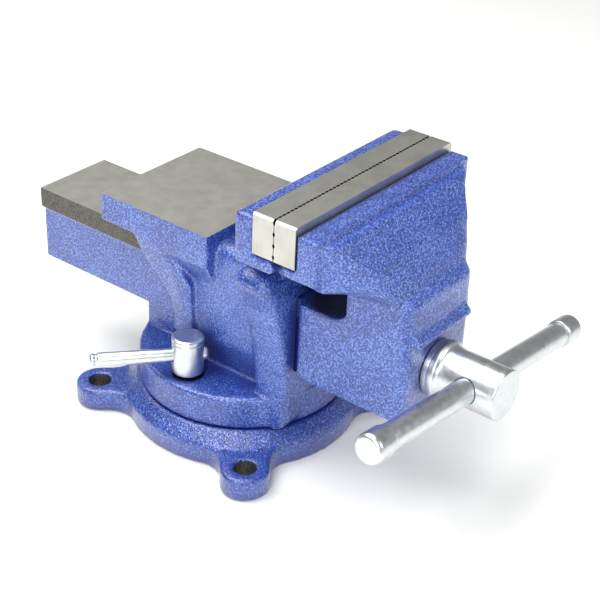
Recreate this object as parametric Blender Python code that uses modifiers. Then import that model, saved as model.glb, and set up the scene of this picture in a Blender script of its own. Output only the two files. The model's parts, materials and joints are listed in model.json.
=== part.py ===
"""Bench vise with a swivel base: 150 mm jaws, a small anvil and a hollow sliding beam.

Metres, +Z up. The origin is the swivel axis at the bench. +X runs along the jaws, -Y points to the
operator's side, where the handle is, and +Y to the anvil and the rear end of the beam.
"""

import math

import bmesh
import bpy
from mathutils import Matrix, Vector

# Jaws
JAW_WIDTH = 0.150
PLATE_THICKNESS = 0.0146
PLATE_HEIGHT = 0.0259
PLATE_TOP_Z = 0.1894
JAW_MEETING_Y = -0.080  # the plane where the closed plates meet
FIXED_JAW_BACKING = 0.0139  # casting behind the fixed plate
MOVING_JAW_BACKING = 0.0129
FIXED_JAW_STEP = 0.0035  # how far the plate stands above the casting
MOVING_JAW_STEP = 0.0048
JAW_LEDGE = 0.0082  # height of the ledge that the plate stands on
LEDGE_INSET = 0.007  # from the meeting plane back to the moving jaw's ledge
THROAT_HEIGHT = 0.022  # from the beam's top to the moving jaw over it
THROAT_FILLET = 0.012

# Beam and the slide block in front of it
BEAM_WIDTH = 0.059
BEAM_HEIGHT = 0.051
BEAM_TOP_Z = 0.115
BEAM_REAR_Y = 0.1523
BEAM_STRIP_HEIGHT = 0.0131  # ground guide strip along each side
BEAM_STRIP_PROUD = 0.0016
BLOCK_SIDE = 0.0045  # how far the slide block stands out beyond the beam on each side
SLIDE_FRONT_Y = -0.143
SLIDE_WALL = 0.015  # front wall, which carries the spindle
THROAT_FRONT_Y = -0.103

# Body
DISC_HEIGHT = 0.022
DISC_EDGE = 0.0161  # from a lock's axis out to the disc's rim
TUNNEL_WALL = 0.0085
TUNNEL_WAIST = 0.007  # how far the foot stands in under each tunnel wall
TUNNEL_FRONT_Y = -0.0640
TUNNEL_REAR_Y = 0.0248
TUNNEL_ROOF = 0.0185  # from the beam's top to the floor between anvil and fixed jaw
PEDESTAL_INSET = 0.0055  # how far the pedestal stands in from each side of the beam
PEDESTAL_REAR_Y = 0.0615
CHEEK_RISE = 0.0055  # shoulders above the floor between anvil and fixed jaw
CHEEK_FLARE = 0.0230  # shoulder beyond the tunnel wall on each side
CHEEK_FOOT_FLARE = 0.0020
CHEEK_SHOULDER = 0.0085
CHEEK_DEPTH = 0.025
NECK_SIDE = 0.006  # neck under the fixed jaw beyond the tunnel wall on each side
VALLEY_FILLET = 0.024

# Anvil
ANVIL_WIDTH = 0.0923
ANVIL_LENGTH = 0.0873
ANVIL_REAR_Y = 0.0794
ANVIL_RISE = 0.008  # ground face above the floor in front of it
ANVIL_SKIRT = 0.0185
RIB_SWEEP = 0.0275  # how far the rear rib runs back on its way up to the anvil
RIB_START = 0.014  # from the beam's bottom up to where the sweep starts
RIB_BAND = 0.0166  # width of the rib below its sweep
RIB_PROUD = 0.0015

# Swivel base
BASE_HEIGHT = 0.0234
BASE_RIM = 0.0095  # how far the base stands out beyond the disc
BASE_DRAFT = 0.0015
BASE_TURN = math.radians(-4.3)  # the base stands a little turned under the body
LUG_COUNT = 4
LUG_THICKNESS = 0.015
LUG_REACH = 0.018  # from the base's foot out to a lug's hole
LUG_RADIUS = 0.0153
LUG_HOLE_RADIUS = 0.0070
LUG_FILLET = 0.018
BASE_FLOOR = 0.008
PIVOT_RADIUS = 0.0155
UNDERCUT_DEPTH = 0.003
UNDERCUT_RIM = 0.0092  # width of the ring left standing round the undercut
UNDERCUT_HUB = 0.0085  # width of the ring left standing round the pivot socket

# Swivel lock
LOCK_WALL_GAP = 0.0031  # between the tunnel wall and the lock nut
LOCK_Y = 0.0025
LOCK_BOLT_RADIUS = 0.006
LOCK_HEAD_SIDE = 0.018
LOCK_HEAD_HEIGHT = 0.0065
LOCK_NUT_RADIUS = 0.0100
LOCK_NUT_HEIGHT = 0.0252
LOCK_WASHER_THICKNESS = 0.0012
LOCK_BAR_RADIUS = 0.0043
LOCK_BAR_REACH = 0.0603  # from the nut's axis to the long end's tip
LOCK_BAR_STUB = 0.0126  # from the nut's axis to the short end
LOCK_BAR_RISE = 0.0136  # the bar's axis above the disc
LOCK_BAR_TURN = math.radians(138.4)
SLOT_LIP = 0.007  # metal over the head of the lock bolt

# Spindle and handle
SPINDLE_DROP = 0.0264  # from the beam's top down to the spindle's axis
SPINDLE_RADIUS = 0.012
SPINDLE_REAR_Y = 0.145
LIP_CLEAR = 0.0088  # from the head up to the lip over it
HEAD_WALL = 0.0035  # head beyond the threaded part
HEAD_END = 0.0190  # from the handle's axis to the end of the head
COLLAR_STEP = 0.0025
COLLAR_THICKNESS = 0.0045
THRUST_WASHER_STEP = 0.001  # how far the washer stands in under the collar
THRUST_WASHER_THICKNESS = 0.0034
HANDLE_REACH = 0.0280  # from the slide block's front to the handle's axis
HANDLE_RADIUS = 0.00765
HANDLE_TILT = math.radians(7.4)
HANDLE_LEFT = 0.0930  # from the spindle's axis to the shoulder under the left knob
HANDLE_RIGHT = 0.0975
KNOB_STEP = 0.00125
KNOB_LENGTH = 0.0165
KNOB_SPIGOT_RADIUS = 0.005
KNOB_SPIGOT_LENGTH = 0.011

# Spring set behind the front wall, which draws the moving jaw back
SPRING_WIRE_RADIUS = 0.0013
SPRING_CLEAR = 0.0012  # between the spindle and the coil
SPRING_LENGTH = 0.018
SPRING_TURNS = 3  # open turns
SPRING_CLOSED_TURNS = 0.75  # at each end
SPRING_WASHER_STEP = 0.006
SPRING_WASHER_THICKNESS = 0.0025
PIN_RADIUS = 0.0020
PIN_PROUD = 0.005
HOLLOW_SIDE_GAP = 0.002  # between the spring's washer and the beam's wall
HOLLOW_TOP_GAP = 0.0014

# Spindle nut
NUT_SIDE_GAP = 0.003
NUT_LENGTH = 0.028
NUT_Y = -0.027
NUT_TOP_MARGIN = 0.0016  # below the beam's roof
NUT_BOLT_RADIUS = 0.0049
NUT_BOLT_CLEAR = 0.0027  # between the bolt's end and the spindle
NUT_BOLT_HEAD_RADIUS = 0.0085
NUT_BOLT_HEAD_HEIGHT = 0.007
NUT_BOLT_WASHER = 0.0016
COUNTERBORE_DEPTH = 0.0105

# Jaw plate screws
SCREW_X = 0.045
SCREW_RADIUS = 0.0040
SCREW_HEAD_RADIUS = 0.0070
SCREW_HEAD_DEPTH = 0.0036
SCREW_SINK = 0.0004
SCREW_GRIP = 0.008  # into the casting

# Clearances
TOUCH_GAP = 0.0003
SLIDE_GAP = 0.0004
BOLT_GAP = 0.0005
PLATE_GAP = 0.0004  # between the closed plates
OVERCUT = 0.004  # how far a cutter runs past the wall it cuts
ROOT = 0.003  # how far joined shapes run into each other

# Levels and planes that follow from the sizes above
TUNNEL_WIDTH = BEAM_WIDTH + 2 * TUNNEL_WALL
LOCK_X = TUNNEL_WIDTH / 2 + LOCK_WALL_GAP + LOCK_NUT_RADIUS
DISC_RADIUS = LOCK_X + DISC_EDGE
BASE_RIM_RADIUS = DISC_RADIUS + BASE_RIM
BASE_FOOT_RADIUS = BASE_RIM_RADIUS - BASE_DRAFT
LUG_CIRCLE_RADIUS = BASE_FOOT_RADIUS + LUG_REACH
SLIDE_BLOCK_WIDTH = BEAM_WIDTH + 2 * BLOCK_SIDE
DISC_BOTTOM_Z = BASE_HEIGHT + TOUCH_GAP
DISC_TOP_Z = BASE_HEIGHT + DISC_HEIGHT
BEAM_BOTTOM_Z = BEAM_TOP_Z - BEAM_HEIGHT
THROAT_TOP_Z = BEAM_TOP_Z + THROAT_HEIGHT
VALLEY_Z = BEAM_TOP_Z + TUNNEL_ROOF
CHEEK_TOP_Z = VALLEY_Z + CHEEK_RISE
ANVIL_TOP_Z = VALLEY_Z + ANVIL_RISE
SPINDLE_Z = BEAM_TOP_Z - SPINDLE_DROP
HEAD_RADIUS = SPINDLE_RADIUS + HEAD_WALL
COLLAR_RADIUS = HEAD_RADIUS + COLLAR_STEP
THRUST_WASHER_RADIUS = COLLAR_RADIUS - THRUST_WASHER_STEP
SPRING_RADIUS = SPINDLE_RADIUS + SPRING_CLEAR + SPRING_WIRE_RADIUS
SPRING_WASHER_RADIUS = SPINDLE_RADIUS + SPRING_WASHER_STEP
HANDLE_Y = SLIDE_FRONT_Y - HANDLE_REACH
HEAD_END_Y = HANDLE_Y - HEAD_END
KNOB_RADIUS = HANDLE_RADIUS + KNOB_STEP
TUNNEL_FLOOR_Z = BEAM_BOTTOM_Z - SLIDE_GAP
PLATE_BOTTOM_Z = PLATE_TOP_Z - PLATE_HEIGHT
LEDGE_TOP_Z = PLATE_BOTTOM_Z - TOUCH_GAP
LEDGE_BOTTOM_Z = LEDGE_TOP_Z - JAW_LEDGE
FIXED_TOP_Z = PLATE_TOP_Z - FIXED_JAW_STEP
MOVING_TOP_Z = PLATE_TOP_Z - MOVING_JAW_STEP
FIXED_SEAT_Y = JAW_MEETING_Y + PLATE_THICKNESS + TOUCH_GAP
FIXED_BACK_Y = FIXED_SEAT_Y + FIXED_JAW_BACKING
MOVING_SEAT_Y = JAW_MEETING_Y - PLATE_THICKNESS - TOUCH_GAP
MOVING_FRONT_Y = MOVING_SEAT_Y - MOVING_JAW_BACKING
SLIDE_INNER_Y = SLIDE_FRONT_Y + SLIDE_WALL
HOLLOW_TOP_Z = SPINDLE_Z + SPRING_WASHER_RADIUS + HOLLOW_TOP_GAP
HOLLOW_WIDTH = 2 * (SPRING_WASHER_RADIUS + HOLLOW_SIDE_GAP)
NUT_WIDTH = HOLLOW_WIDTH - 2 * NUT_SIDE_GAP
NUT_BOLT_TOP_Z = SPINDLE_Z - SPINDLE_RADIUS - NUT_BOLT_CLEAR
SCREW_Z = PLATE_TOP_Z - PLATE_HEIGHT / 2
SLOT_RADIUS = math.hypot(LOCK_X, LOCK_Y)
ANVIL_FRONT_Y = ANVIL_REAR_Y - ANVIL_LENGTH
ANVIL_UNDER_Z = ANVIL_TOP_Z - ANVIL_SKIRT

ROUND_STEPS = 48
SMALL_STEPS = 24

CASTING_BLUE = (0.055, 0.125, 0.56)
GROUND_STEEL = (0.42, 0.42, 0.40)
ZINC = (0.72, 0.73, 0.74)
DARK_STEEL = (0.16, 0.16, 0.17)
BRONZE = (0.55, 0.38, 0.18)

FINISHES = {
    "painted_casting": (CASTING_BLUE, 0.35, 0.0),
    "ground_steel": (GROUND_STEEL, 0.45, 1.0),
    "zinc_plate": (ZINC, 0.28, 1.0),
    "dark_steel": (DARK_STEEL, 0.5, 1.0),
    "nut_iron": (BRONZE, 0.4, 1.0),
}


# ---- scene and small tools ------------------------------------------------------------------


def clear_scene():
    for old in list(bpy.data.objects):
        bpy.data.objects.remove(old, do_unlink=True)


def new_collection(name):
    collection = bpy.data.collections.new(name)
    bpy.context.scene.collection.children.link(collection)
    return collection


def finish_material(name):
    colour, roughness, metallic = FINISHES[name]
    material = bpy.data.materials.get(name) or bpy.data.materials.new(name)
    material.use_nodes = True
    shader = material.node_tree.nodes["Principled BSDF"]
    shader.inputs["Base Color"].default_value = (*colour, 1.0)
    shader.inputs["Roughness"].default_value = roughness
    shader.inputs["Metallic"].default_value = metallic
    return material


def axis_empty(name, location, rotation=(0, 0, 0)):
    """A joint's axis: its local +Z is the axis of the piece that turns or slides on it."""
    empty = bpy.data.objects.new(name, None)
    empty.empty_display_size = 0.02
    empty.location = location
    empty.rotation_euler = rotation
    PARTS.objects.link(empty)
    return empty


def add_object(name, bm, parent=None, location=(0, 0, 0), rotation=(0, 0, 0)):
    mesh = bpy.data.meshes.new(name)
    bm.to_mesh(mesh)
    bm.free()
    obj = bpy.data.objects.new(name, mesh)
    obj.location = location
    obj.rotation_euler = rotation
    obj.parent = parent
    return obj


def node(obj, finish, smooth_angle=35):
    """Makes the object one of the vise's pieces."""
    PARTS.objects.link(obj)
    obj.data.materials.append(finish_material(finish))
    obj.data.shade_smooth()
    obj.data.set_sharp_from_angle(angle=math.radians(smooth_angle))
    return obj


def tool(obj):
    """Makes the object a helper that only joins or cuts."""
    TOOLS.objects.link(obj)
    obj.hide_render = True
    obj.display_type = "WIRE"
    return obj


def combine(target, helper, operation):
    tool(helper)
    boolean = target.modifiers.new(helper.name, "BOOLEAN")
    boolean.operation = operation
    boolean.solver = "EXACT"
    boolean.object = helper
    return target


def join(target, *helpers):
    for helper in helpers:
        combine(target, helper, "UNION")
    return target


def cut(target, *helpers):
    for helper in helpers:
        combine(target, helper, "DIFFERENCE")
    return target


def box(name, x, y, z, rounding=0.0, along=None, segments=3):
    """A box between two corners. along rounds only the edges that run along that axis."""
    bm = bmesh.new()
    bmesh.ops.create_cube(bm, size=1.0)
    size = Vector((x[1] - x[0], y[1] - y[0], z[1] - z[0]))
    centre = Vector((x[0] + x[1], y[0] + y[1], z[0] + z[1])) / 2
    bmesh.ops.scale(bm, vec=size, verts=bm.verts)
    bmesh.ops.translate(bm, vec=centre, verts=bm.verts)
    if rounding:
        round_edges(bm, rounding, along, segments)
    return add_object(name, bm)


def round_edges(bm, rounding, along=None, segments=3):
    edges = [edge for edge in bm.edges if runs_along(edge, along)]
    bmesh.ops.bevel(
        bm,
        geom=edges,
        offset=rounding,
        offset_type="OFFSET",
        segments=segments,
        profile=0.5,
        affect="EDGES",
        material=-1,
        clamp_overlap=True,
    )


def runs_along(edge, along):
    if along is None:
        return True
    direction = (edge.verts[1].co - edge.verts[0].co).normalized()
    return abs(direction["XYZ".index(along)]) > 0.99


def prism(name, outline, normal, lo, hi, rounding=0.0, segments=3):
    """A flat outline drawn out along one axis. rounding softens the edges of both flat ends."""
    bm = bmesh.new()
    place = {
        "X": lambda a, b: (lo, a, b),
        "Y": lambda a, b: (a, lo, b),
        "Z": lambda a, b: (a, b, lo),
    }[normal]
    face = bm.faces.new([bm.verts.new(place(a, b)) for a, b in outline])
    grown = bmesh.ops.extrude_face_region(bm, geom=[face])["geom"]
    step = Vector((0, 0, 0))
    step["XYZ".index(normal)] = hi - lo
    moved = [item for item in grown if isinstance(item, bmesh.types.BMVert)]
    bmesh.ops.translate(bm, vec=step, verts=moved)
    bmesh.ops.recalc_face_normals(bm, faces=bm.faces)
    if rounding:
        rims = [edge for edge in bm.edges if not runs_along(edge, normal)]
        bmesh.ops.bevel(
            bm, geom=rims, offset=rounding, offset_type="OFFSET", segments=segments,
            profile=0.5, affect="EDGES", material=-1, clamp_overlap=True,
        )
    return add_object(name, bm)


def mirrored(half):
    """A closed outline from its right half, listed from one end of the mirror line to the other."""
    left = [(-a, b) for a, b in reversed(half) if a > 0]
    return half + left


def smooth(share):
    """Runs from 0 to 1, level at both ends."""
    return share * share * (3 - 2 * share)


def arc(centre, radius, start, end, steps):
    """Points on an arc, angles in degrees."""
    angles = [math.radians(start + (end - start) * i / steps) for i in range(steps + 1)]
    return [(centre[0] + radius * math.cos(a), centre[1] + radius * math.sin(a)) for a in angles]


def turned(name, profile, ring=False, steps=ROUND_STEPS, parent=None, location=(0, 0, 0),
           rotation=(0, 0, 0)):
    """A shape turned about local Z from a profile of (radius, height), listed from the top down."""
    bm = bmesh.new()
    points = [bm.verts.new((r, 0, z)) for r, z in profile]
    for a, b in zip(points, points[1:]):
        bm.edges.new((a, b))
    if ring:
        bm.edges.new((points[-1], points[0]))
    obj = add_object(name, bm, parent, location, rotation)
    screw = obj.modifiers.new("Turn", "SCREW")
    screw.axis = "Z"
    screw.angle = 2 * math.pi
    screw.steps = screw.render_steps = steps
    screw.use_merge_vertices = True
    screw.merge_threshold = 0.00001
    screw.use_smooth_shade = True
    return obj


def rod_profile(radius, top, bottom, chamfer=0.0):
    if not chamfer:
        return [(0, top), (radius, top), (radius, bottom), (0, bottom)]
    return [
        (0, top),
        (radius - chamfer, top),
        (radius, top - chamfer),
        (radius, bottom + chamfer),
        (radius - chamfer, bottom),
        (0, bottom),
    ]


def rod(name, radius, top, bottom, chamfer=0.0, **where):
    return turned(name, rod_profile(radius, top, bottom, chamfer), **where)


def ring_profile(outer, inner, top, bottom, chamfer=0.0):
    return [
        (inner, top),
        (outer - chamfer, top),
        (outer, top - chamfer),
        (outer, bottom + chamfer),
        (outer - chamfer, bottom),
        (inner, bottom),
    ] if chamfer else [(inner, top), (outer, top), (outer, bottom), (inner, bottom)]


def washer(name, outer, inner, top, bottom, chamfer=0.0, **where):
    return turned(name, ring_profile(outer, inner, top, bottom, chamfer), ring=True, **where)


# ---- swivel base -----------------------------------------------------------------------------


def lug_outline():
    """One bolting lug with the concave fillets that run it into the round base, pointing along +X."""
    height = LUG_RADIUS + LUG_FILLET
    reach = math.sqrt((BASE_FOOT_RADIUS + LUG_FILLET) ** 2 - height ** 2)
    meeting = math.degrees(math.atan2(height, reach))
    end = arc((LUG_CIRCLE_RADIUS, 0), LUG_RADIUS, 0, 90, 6)
    fillet = arc((reach, height), LUG_FILLET, 270, 180 + meeting, 4)
    inner = 0.6 * reach
    half = end + fillet + [(inner, 0.6 * height)]
    return half + [(a, -b) for a, b in reversed(half) if b > 0]


def slot_profile(gap):
    """The round T-slot that holds the heads of the lock bolts."""
    throat = LOCK_BOLT_RADIUS + BOLT_GAP
    cavity = LOCK_HEAD_SIDE / 2 + 0.002
    lip_z = BASE_HEIGHT - SLOT_LIP
    return [
        (SLOT_RADIUS - throat, BASE_HEIGHT + gap),
        (SLOT_RADIUS + throat, BASE_HEIGHT + gap),
        (SLOT_RADIUS + throat, lip_z),
        (SLOT_RADIUS + cavity, lip_z),
        (SLOT_RADIUS + cavity, BASE_FLOOR),
        (SLOT_RADIUS - cavity, BASE_FLOOR),
        (SLOT_RADIUS - cavity, lip_z),
        (SLOT_RADIUS - throat, lip_z),
    ]


def make_swivel_base():
    profile = [
        (0, BASE_HEIGHT),
        (DISC_RADIUS + 0.0008, BASE_HEIGHT),
        (BASE_RIM_RADIUS - 0.0012, LUG_THICKNESS + 0.0012),
        (BASE_RIM_RADIUS, LUG_THICKNESS - 0.0006),
        (BASE_FOOT_RADIUS, 0),
        (0, 0),
    ]
    base = turned("swivel_base", profile)
    for i in range(LUG_COUNT):
        angle = math.radians(45) + BASE_TURN + 2 * math.pi * i / LUG_COUNT
        lug = prism(f"lug_{i + 1}", lug_outline(), "Z", 0, LUG_THICKNESS)
        lug.rotation_euler.z = angle
        softened = lug.modifiers.new("Edges", "BEVEL")
        softened.width = 0.0012
        softened.segments = 1
        softened.limit_method = "ANGLE"
        softened.angle_limit = math.radians(50)
        join(base, lug)
    for i in range(LUG_COUNT):
        angle = math.radians(45) + BASE_TURN + 2 * math.pi * i / LUG_COUNT
        centre = (LUG_CIRCLE_RADIUS * math.cos(angle), LUG_CIRCLE_RADIUS * math.sin(angle), 0)
        cut(base, rod(f"lug_hole_{i + 1}", LUG_HOLE_RADIUS, LUG_THICKNESS + OVERCUT, -OVERCUT,
                      steps=SMALL_STEPS, location=centre))
    cut(base, turned("t_slot", slot_profile(OVERCUT), ring=True))
    pivot = rod("pivot_socket", PIVOT_RADIUS + SLIDE_GAP, BASE_HEIGHT + OVERCUT, BASE_FLOOR)
    entry = rod("bolt_entry", LOCK_HEAD_SIDE * 0.75, BASE_HEIGHT + OVERCUT, BASE_FLOOR,
                steps=SMALL_STEPS, location=(0, SLOT_RADIUS, 0))
    undercut = turned("undercut", ring_profile(BASE_FOOT_RADIUS - UNDERCUT_RIM,
                                               PIVOT_RADIUS + UNDERCUT_HUB, UNDERCUT_DEPTH,
                                               -OVERCUT), ring=True)
    cut(base, pivot, entry, undercut)
    return node(base, "painted_casting")


# ---- body with the fixed jaw and the anvil ----------------------------------------------------


def tunnel_outline():
    """Cross-section of the body over the disc: a narrow foot that widens to the tunnel walls."""
    wall = TUNNEL_WIDTH / 2
    foot = wall - TUNNEL_WAIST
    bend_low = DISC_TOP_Z + 0.25 * (BEAM_BOTTOM_Z - DISC_TOP_Z)
    bend_high = BEAM_BOTTOM_Z + 0.006
    rounding = 0.007
    half = [(0, DISC_TOP_Z - ROOT), (foot, DISC_TOP_Z - ROOT)]
    for step in range(6):
        share = step / 5
        half.append((foot + TUNNEL_WAIST * smooth(share), bend_low + (bend_high - bend_low) * share))
    half += arc((wall - rounding, VALLEY_Z - rounding), rounding, 0, 90, 4)
    return mirrored(half + [(0, VALLEY_Z)])


def cheek_outline():
    """Front wall of the body, flaring from the disc to the shoulders under the fixed jaw."""
    foot = TUNNEL_WIDTH / 2 + CHEEK_FOOT_FLARE
    top = TUNNEL_WIDTH / 2 + CHEEK_FLARE
    shoulder = CHEEK_SHOULDER
    rise = CHEEK_TOP_Z - DISC_TOP_Z
    half = [(0, DISC_BOTTOM_Z), (foot, DISC_BOTTOM_Z)]
    for share in (0.0, 0.18, 0.36, 0.54, 0.72):
        half.append((foot + (top - foot) * share ** 1.5, DISC_TOP_Z + rise * share))
    half += arc((top - shoulder, CHEEK_TOP_Z - shoulder), shoulder, -10, 90, 5)
    return mirrored(half + [(0, CHEEK_TOP_Z)])


def rear_rib_outline():
    """Side view of the rib that carries the anvil: a band that sweeps back on its way up."""
    low = BEAM_BOTTOM_Z - 0.003
    start = BEAM_BOTTOM_Z + RIB_START
    top = ANVIL_UNDER_Z + ROOT
    steps = 6
    back = [(TUNNEL_REAR_Y, low)]
    for step in range(steps + 1):
        share = step / steps
        back.append((TUNNEL_REAR_Y + RIB_SWEEP * smooth(share), start + (top - start) * share))
    front = [(TUNNEL_REAR_Y - RIB_BAND, low)]
    bend = start + 0.45 * (top - start)
    for step in range(steps):
        share = step / steps
        front.append((TUNNEL_REAR_Y - RIB_BAND + 0.87 * RIB_SWEEP * smooth(share),
                      bend + (top - bend) * share))
    return back + [(TUNNEL_REAR_Y, top)] + front[::-1]


def make_rear_rib():
    rib = prism("rear_rib", rear_rib_outline(), "X", -ANVIL_WIDTH / 2, ANVIL_WIDTH / 2)
    low = BEAM_BOTTOM_Z + RIB_START
    high = ANVIL_UNDER_Z - 0.002
    foot = TUNNEL_WIDTH / 2 + RIB_PROUD
    for vert in rib.data.vertices:
        share = min(max((vert.co.z - low) / (high - low), 0), 1)
        half = foot + (ANVIL_WIDTH / 2 - foot) * share
        vert.co.x = math.copysign(half, vert.co.x)
    return rib


def make_fixed_jaw():
    half = JAW_WIDTH / 2
    block = box("fixed_jaw_block", (-half, half), (FIXED_SEAT_Y, FIXED_BACK_Y),
                (LEDGE_BOTTOM_Z, FIXED_TOP_Z))
    for_rear = [edge for edge in block.data.edges
                if all(block.data.vertices[i].co.y > FIXED_BACK_Y - 1e-6 for i in edge.vertices)]
    soften_edges(block, for_rear, 0.004)
    ledge = box("fixed_jaw_ledge", (-half, half), (JAW_MEETING_Y + 0.0006, FIXED_SEAT_Y + ROOT),
                (LEDGE_BOTTOM_Z, LEDGE_TOP_Z), rounding=0.0025, along="X")
    return block, ledge


def soften_edges(obj, edges, width):
    """Rounds chosen edges of a finished mesh with a weighted Bevel."""
    weights = obj.data.attributes.new("bevel_weight_edge", "FLOAT", "EDGE")
    for edge in edges:
        weights.data[edge.index].value = 1.0
    bevel = obj.modifiers.new("Edges", "BEVEL")
    bevel.limit_method = "WEIGHT"
    bevel.width = width
    bevel.segments = 3


def jaw_gusset_outline():
    """Section under the fixed jaw, from the neck out to the jaw's ends."""
    neck = TUNNEL_WIDTH / 2 + NECK_SIDE
    end = JAW_WIDTH / 2 - 0.004
    half = [(0, CHEEK_TOP_Z - 0.010), (neck, CHEEK_TOP_Z - 0.010), (neck, CHEEK_TOP_Z + 0.003)]
    half += [(neck + 0.010, LEDGE_BOTTOM_Z - 0.004), (end, LEDGE_BOTTOM_Z + ROOT)]
    return mirrored(half + [(0, LEDGE_BOTTOM_Z + ROOT)])


def valley_fillet_outline():
    """Side view of the sweep from the valley's floor up to the back of the fixed jaw."""
    radius = VALLEY_FILLET
    centre = (FIXED_BACK_Y + radius - 0.001, VALLEY_Z + radius - 0.001)
    sweep = arc(centre, radius, 180, 270, 6)
    return sweep + [(sweep[-1][0], VALLEY_Z - 0.006), (FIXED_BACK_Y - 0.008, VALLEY_Z - 0.006),
                    (FIXED_BACK_Y - 0.008, sweep[0][1])]


def anvil_support_outline():
    """Section under the front of the anvil, from its full width in to the tunnel wall."""
    top = ANVIL_WIDTH / 2 - 0.0004
    wall = TUNNEL_WIDTH / 2 - 0.002
    low = BEAM_TOP_Z - BEAM_STRIP_HEIGHT
    half = [(0, low), (wall, low), (top, ANVIL_UNDER_Z - 0.003)]
    return mirrored(half + [(top, ANVIL_UNDER_Z + ROOT), (0, ANVIL_UNDER_Z + ROOT)])


def make_body():
    lower = 0.0012
    disc = [
        (0, DISC_TOP_Z),
        (DISC_RADIUS - lower, DISC_TOP_Z),
        (DISC_RADIUS, DISC_TOP_Z - lower),
        (DISC_RADIUS, DISC_BOTTOM_Z + lower),
        (DISC_RADIUS - lower, DISC_BOTTOM_Z),
        (PIVOT_RADIUS, DISC_BOTTOM_Z),
        (PIVOT_RADIUS, BASE_FLOOR + 0.001),
        (0, BASE_FLOOR + 0.001),
    ]
    body = turned("vise_body", disc)
    tunnel = prism("tunnel", tunnel_outline(), "Y", TUNNEL_FRONT_Y + 0.004, TUNNEL_REAR_Y - 0.002)
    cheek = prism("cheek", cheek_outline(), "Y", TUNNEL_FRONT_Y, TUNNEL_FRONT_Y + CHEEK_DEPTH,
                  rounding=0.0065)
    neck = prism("neck", jaw_gusset_outline(), "Y", FIXED_SEAT_Y + 0.001, FIXED_BACK_Y + 0.008)
    pedestal_half = BEAM_WIDTH / 2 - PEDESTAL_INSET
    pedestal = box("pedestal", (-pedestal_half, pedestal_half),
                   (TUNNEL_REAR_Y - 0.010, PEDESTAL_REAR_Y), (DISC_TOP_Z - ROOT, TUNNEL_FLOOR_Z))
    valley = prism("valley_fillet", valley_fillet_outline(), "X", -TUNNEL_WIDTH / 2 + 0.001,
                   TUNNEL_WIDTH / 2 - 0.001)
    support = prism("anvil_support", anvil_support_outline(), "Y", ANVIL_FRONT_Y + 0.0005,
                    TUNNEL_REAR_Y + 0.004)
    anvil = box("anvil_block", (-ANVIL_WIDTH / 2, ANVIL_WIDTH / 2), (ANVIL_FRONT_Y, ANVIL_REAR_Y),
                (ANVIL_UNDER_Z, ANVIL_TOP_Z), rounding=0.0006, segments=1)
    join(body, tunnel, cheek, neck, *make_fixed_jaw(), pedestal, valley, support, make_rear_rib(),
         anvil)
    beam_way = box("beam_way", (-BEAM_WIDTH / 2 - SLIDE_GAP, BEAM_WIDTH / 2 + SLIDE_GAP),
                   (TUNNEL_FRONT_Y - OVERCUT, ANVIL_REAR_Y),
                   (TUNNEL_FLOOR_Z, BEAM_TOP_Z + SLIDE_GAP))
    cut(body, beam_way)
    for side in (-1, 1):
        cut(body, rod(f"lock_hole_{side + 2}", LOCK_BOLT_RADIUS + BOLT_GAP, DISC_TOP_Z + OVERCUT,
                      DISC_BOTTOM_Z - OVERCUT, steps=SMALL_STEPS, location=(side * LOCK_X, LOCK_Y, 0)))
        cut(body, rod(f"fixed_screw_hole_{side + 2}", SCREW_RADIUS + TOUCH_GAP, SCREW_GRIP + 0.001,
                      -OVERCUT, steps=SMALL_STEPS, location=(side * SCREW_X, FIXED_SEAT_Y, SCREW_Z),
                      rotation=(-math.pi / 2, 0, 0)))
    cut(body, rod("nut_bolt_hole", NUT_BOLT_RADIUS + BOLT_GAP, TUNNEL_FLOOR_Z + OVERCUT,
                  DISC_BOTTOM_Z, steps=SMALL_STEPS, location=(0, NUT_Y, 0)))
    cut(body, rod("nut_bolt_counterbore", NUT_BOLT_HEAD_RADIUS + 0.001,
                  DISC_BOTTOM_Z + COUNTERBORE_DEPTH, DISC_BOTTOM_Z - OVERCUT, steps=SMALL_STEPS,
                  location=(0, NUT_Y, 0)))
    return node(body, "painted_casting")


# ---- moving jaw with its beam -----------------------------------------------------------------


def cowl_section(z, front_y, front_half, root_half):
    """One level of the cowl: straight sides that close in from the jaw, and a slightly bowed front."""
    bow = 0.0012
    rear = THROAT_FRONT_Y + 0.002
    right = [
        (root_half, rear),
        (root_half, MOVING_FRONT_Y),
        (front_half, front_y + 0.0015),
        (front_half - 0.0015, front_y),
        (front_half * 0.5, front_y - bow),
    ]
    left = [(-a, b) for a, b in reversed(right)]
    return [(a, b, z) for a, b in right + [(0, front_y - bow * 1.2)] + left]


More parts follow.
